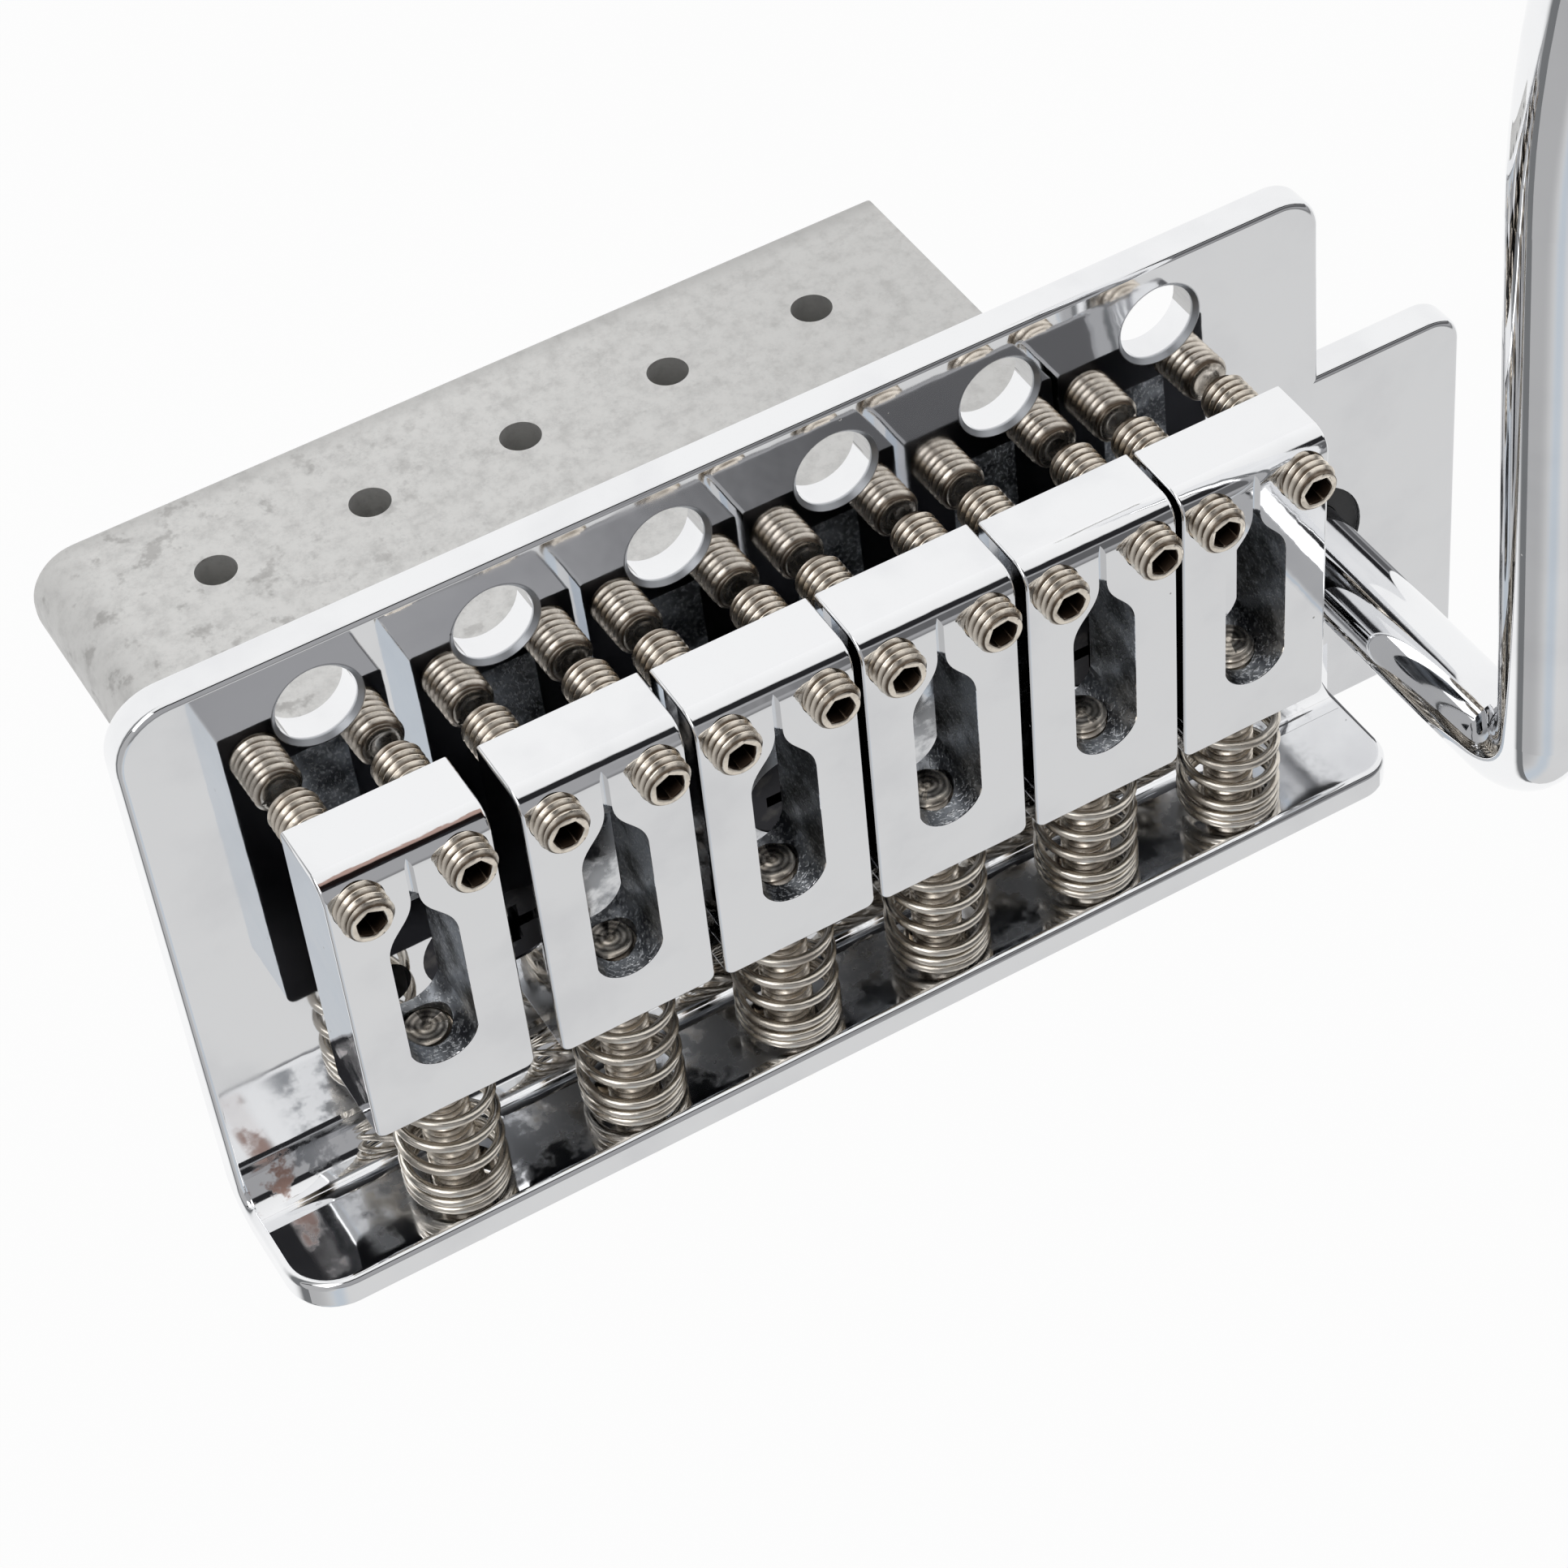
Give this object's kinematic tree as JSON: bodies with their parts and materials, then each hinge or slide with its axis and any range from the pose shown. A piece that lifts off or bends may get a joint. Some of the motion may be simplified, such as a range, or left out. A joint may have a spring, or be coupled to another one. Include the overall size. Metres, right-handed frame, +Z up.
{
  "type": "guitar tremolo bridge",
  "caption": "Chrome guitar tremolo bridge: bent plate with pivot holes, hanging cast block, sprung adjustable saddles with string slots, and a bent arm that swings in a socket.",
  "frame": {"origin": "middle of the row of pivot screw holes, on the plate's top face", "axes": "+X to the treble side, where the arm is; +Y to the neck; +Z up out of the guitar's top"},
  "size_m": [0.1122, 0.1685, 0.0686],
  "materials": {
    "chrome": "polished chrome plating",
    "nickel": "warm nickel plating",
    "cast_zinc": "mottled as-cast zinc",
    "steel": "machined",
    "black_steel": "black oxide",
    "black_plastic": "matt",
    "white_plastic": "gloss"
  },
  "bodies": {
    "bridge": {"base_plate": "chrome", "tremolo_block": "cast_zinc", "block_screws": "black_steel", "arm_liner": "black_plastic", "arm_socket": "steel"},
    "arm": {"tremolo_arm": "chrome", "arm_tip": "white_plastic"},
    "carriage_1": {"intonation_spring_1": "nickel"},
    "intonation_screw_1": {"intonation_screw_1": "nickel"},
    "saddle_1": {"saddle_1": "chrome"},
    "height_screws_1": {"height_screws_1": "nickel"},
    "carriage_2": {"intonation_spring_2": "nickel"},
    "intonation_screw_2": {"intonation_screw_2": "nickel"},
    "saddle_2": {"saddle_2": "chrome"},
    "height_screws_2": {"height_screws_2": "nickel"},
    "carriage_3": {"intonation_spring_3": "nickel"},
    "intonation_screw_3": {"intonation_screw_3": "nickel"},
    "saddle_3": {"saddle_3": "chrome"},
    "height_screws_3": {"height_screws_3": "nickel"},
    "carriage_4": {"intonation_spring_4": "nickel"},
    "intonation_screw_4": {"intonation_screw_4": "nickel"},
    "saddle_4": {"saddle_4": "chrome"},
    "height_screws_4": {"height_screws_4": "nickel"},
    "carriage_5": {"intonation_spring_5": "nickel"},
    "intonation_screw_5": {"intonation_screw_5": "nickel"},
    "saddle_5": {"saddle_5": "chrome"},
    "height_screws_5": {"height_screws_5": "nickel"},
    "carriage_6": {"intonation_spring_6": "nickel"},
    "intonation_screw_6": {"intonation_screw_6": "nickel"},
    "saddle_6": {"saddle_6": "chrome"},
    "height_screws_6": {"height_screws_6": "nickel"}
  },
  "joints": [
    {"name": "arm_swing", "type": "hinge", "parent": "bridge", "child": "arm", "pos_m": [0.0361, -0.022, 0], "axis": [0, 0, 1], "continuous": true},
    {"name": "tilt_1", "type": "hinge", "parent": "bridge", "child": "carriage_1", "pos_m": [-0.02615, -0.0352, 0.00525], "axis": [1, 0, 0], "range_deg": [-0.9, 1.6]},
    {"name": "intonation_turn_1", "type": "hinge", "parent": "carriage_1", "child": "intonation_screw_1", "pos_m": [-0.02615, -0.0352, 0.00525], "axis": [0, 0.9995, 0.0305], "range_deg": [-1440, 1440]},
    {"name": "saddle_slide_1", "type": "slide", "parent": "carriage_1", "child": "saddle_1", "axis": [0, 0.9995, 0.0305], "range_m": [-0.002, 0.002], "deforming": ["intonation_spring_1"]},
    {"name": "height_slide_1", "type": "slide", "parent": "saddle_1", "child": "height_screws_1", "axis": [0, -0.0305, 0.9995], "range_m": [-0.00083, 0.00047]},
    {"name": "tilt_2", "type": "hinge", "parent": "bridge", "child": "carriage_2", "pos_m": [-0.01465, -0.0352, 0.00525], "axis": [1, 0, 0], "range_deg": [-0.9, 1.6]},
    {"name": "intonation_turn_2", "type": "hinge", "parent": "carriage_2", "child": "intonation_screw_2", "pos_m": [-0.01465, -0.0352, 0.00525], "axis": [0, 0.9995, 0.0305], "range_deg": [-1440, 1440]},
    {"name": "saddle_slide_2", "type": "slide", "parent": "carriage_2", "child": "saddle_2", "axis": [0, 0.9995, 0.0305], "range_m": [-0.002, 0.002], "deforming": ["intonation_spring_2"]},
    {"name": "height_slide_2", "type": "slide", "parent": "saddle_2", "child": "height_screws_2", "axis": [0, -0.0305, 0.9995], "range_m": [-0.00082, 0.00046]},
    {"name": "tilt_3", "type": "hinge", "parent": "bridge", "child": "carriage_3", "pos_m": [-0.0042, -0.0352, 0.00525], "axis": [1, 0, 0], "range_deg": [-0.9, 1.6]},
    {"name": "intonation_turn_3", "type": "hinge", "parent": "carriage_3", "child": "intonation_screw_3", "pos_m": [-0.0042, -0.0352, 0.00525], "axis": [0, 0.9995, 0.0305], "range_deg": [-1440, 1440]},
    {"name": "saddle_slide_3", "type": "slide", "parent": "carriage_3", "child": "saddle_3", "axis": [0, 0.9995, 0.0305], "range_m": [-0.002, 0.002], "deforming": ["intonation_spring_3"]},
    {"name": "height_slide_3", "type": "slide", "parent": "saddle_3", "child": "height_screws_3", "axis": [0, -0.0305, 0.9995], "range_m": [-0.00081, 0.00046]},
    {"name": "tilt_4", "type": "hinge", "parent": "bridge", "child": "carriage_4", "pos_m": [0.00605, -0.0352, 0.00525], "axis": [1, 0, 0], "range_deg": [-0.9, 1.6]},
    {"name": "intonation_turn_4", "type": "hinge", "parent": "carriage_4", "child": "intonation_screw_4", "pos_m": [0.00605, -0.0352, 0.00525], "axis": [0, 0.9995, 0.0305], "range_deg": [-1440, 1440]},
    {"name": "saddle_slide_4", "type": "slide", "parent": "carriage_4", "child": "saddle_4", "axis": [0, 0.9995, 0.0305], "range_m": [-0.002, 0.002], "deforming": ["intonation_spring_4"]},
    {"name": "height_slide_4", "type": "slide", "parent": "saddle_4", "child": "height_screws_4", "axis": [0, -0.0305, 0.9995], "range_m": [-0.00081, 0.00046]},
    {"name": "tilt_5", "type": "hinge", "parent": "bridge", "child": "carriage_5", "pos_m": [0.0165, -0.0352, 0.00525], "axis": [1, 0, 0], "range_deg": [-0.9, 1.6]},
    {"name": "intonation_turn_5", "type": "hinge", "parent": "carriage_5", "child": "intonation_screw_5", "pos_m": [0.0165, -0.0352, 0.00525], "axis": [0, 0.9995, 0.0305], "range_deg": [-1440, 1440]},
    {"name": "saddle_slide_5", "type": "slide", "parent": "carriage_5", "child": "saddle_5", "axis": [0, 0.9995, 0.0305], "range_m": [-0.002, 0.002], "deforming": ["intonation_spring_5"]},
    {"name": "height_slide_5", "type": "slide", "parent": "saddle_5", "child": "height_screws_5", "axis": [0, -0.0305, 0.9995], "range_m": [-0.00081, 0.00045]},
    {"name": "tilt_6", "type": "hinge", "parent": "bridge", "child": "carriage_6", "pos_m": [0.0267, -0.0352, 0.00525], "axis": [1, 0, 0], "range_deg": [-0.9, 1.6]},
    {"name": "intonation_turn_6", "type": "hinge", "parent": "carriage_6", "child": "intonation_screw_6", "pos_m": [0.0267, -0.0352, 0.00525], "axis": [0, 0.9995, 0.0305], "range_deg": [-1440, 1440]},
    {"name": "saddle_slide_6", "type": "slide", "parent": "carriage_6", "child": "saddle_6", "axis": [0, 0.9995, 0.0305], "range_m": [-0.002, 0.002], "deforming": ["intonation_spring_6"]},
    {"name": "height_slide_6", "type": "slide", "parent": "saddle_6", "child": "height_screws_6", "axis": [0, -0.0305, 0.9995], "range_m": [-0.0008, 0.00045]}
  ],
  "couplings": [
    {"joint": "intonation_turn_1", "follows": "saddle_slide_1", "rad_per_m": -12566},
    {"joint": "height_slide_1", "follows": "tilt_1", "m_per_rad": -0.029715},
    {"joint": "intonation_turn_2", "follows": "saddle_slide_2", "rad_per_m": -12566},
    {"joint": "height_slide_2", "follows": "tilt_2", "m_per_rad": -0.029415},
    {"joint": "intonation_turn_3", "follows": "saddle_slide_3", "rad_per_m": -12566},
    {"joint": "height_slide_3", "follows": "tilt_3", "m_per_rad": -0.029165},
    {"joint": "intonation_turn_4", "follows": "saddle_slide_4", "rad_per_m": -12566},
    {"joint": "height_slide_4", "follows": "tilt_4", "m_per_rad": -0.029115},
    {"joint": "intonation_turn_5", "follows": "saddle_slide_5", "rad_per_m": -12566},
    {"joint": "height_slide_5", "follows": "tilt_5", "m_per_rad": -0.028815},
    {"joint": "intonation_turn_6", "follows": "saddle_slide_6", "rad_per_m": -12566},
    {"joint": "height_slide_6", "follows": "tilt_6", "m_per_rad": -0.028665}
  ]
}
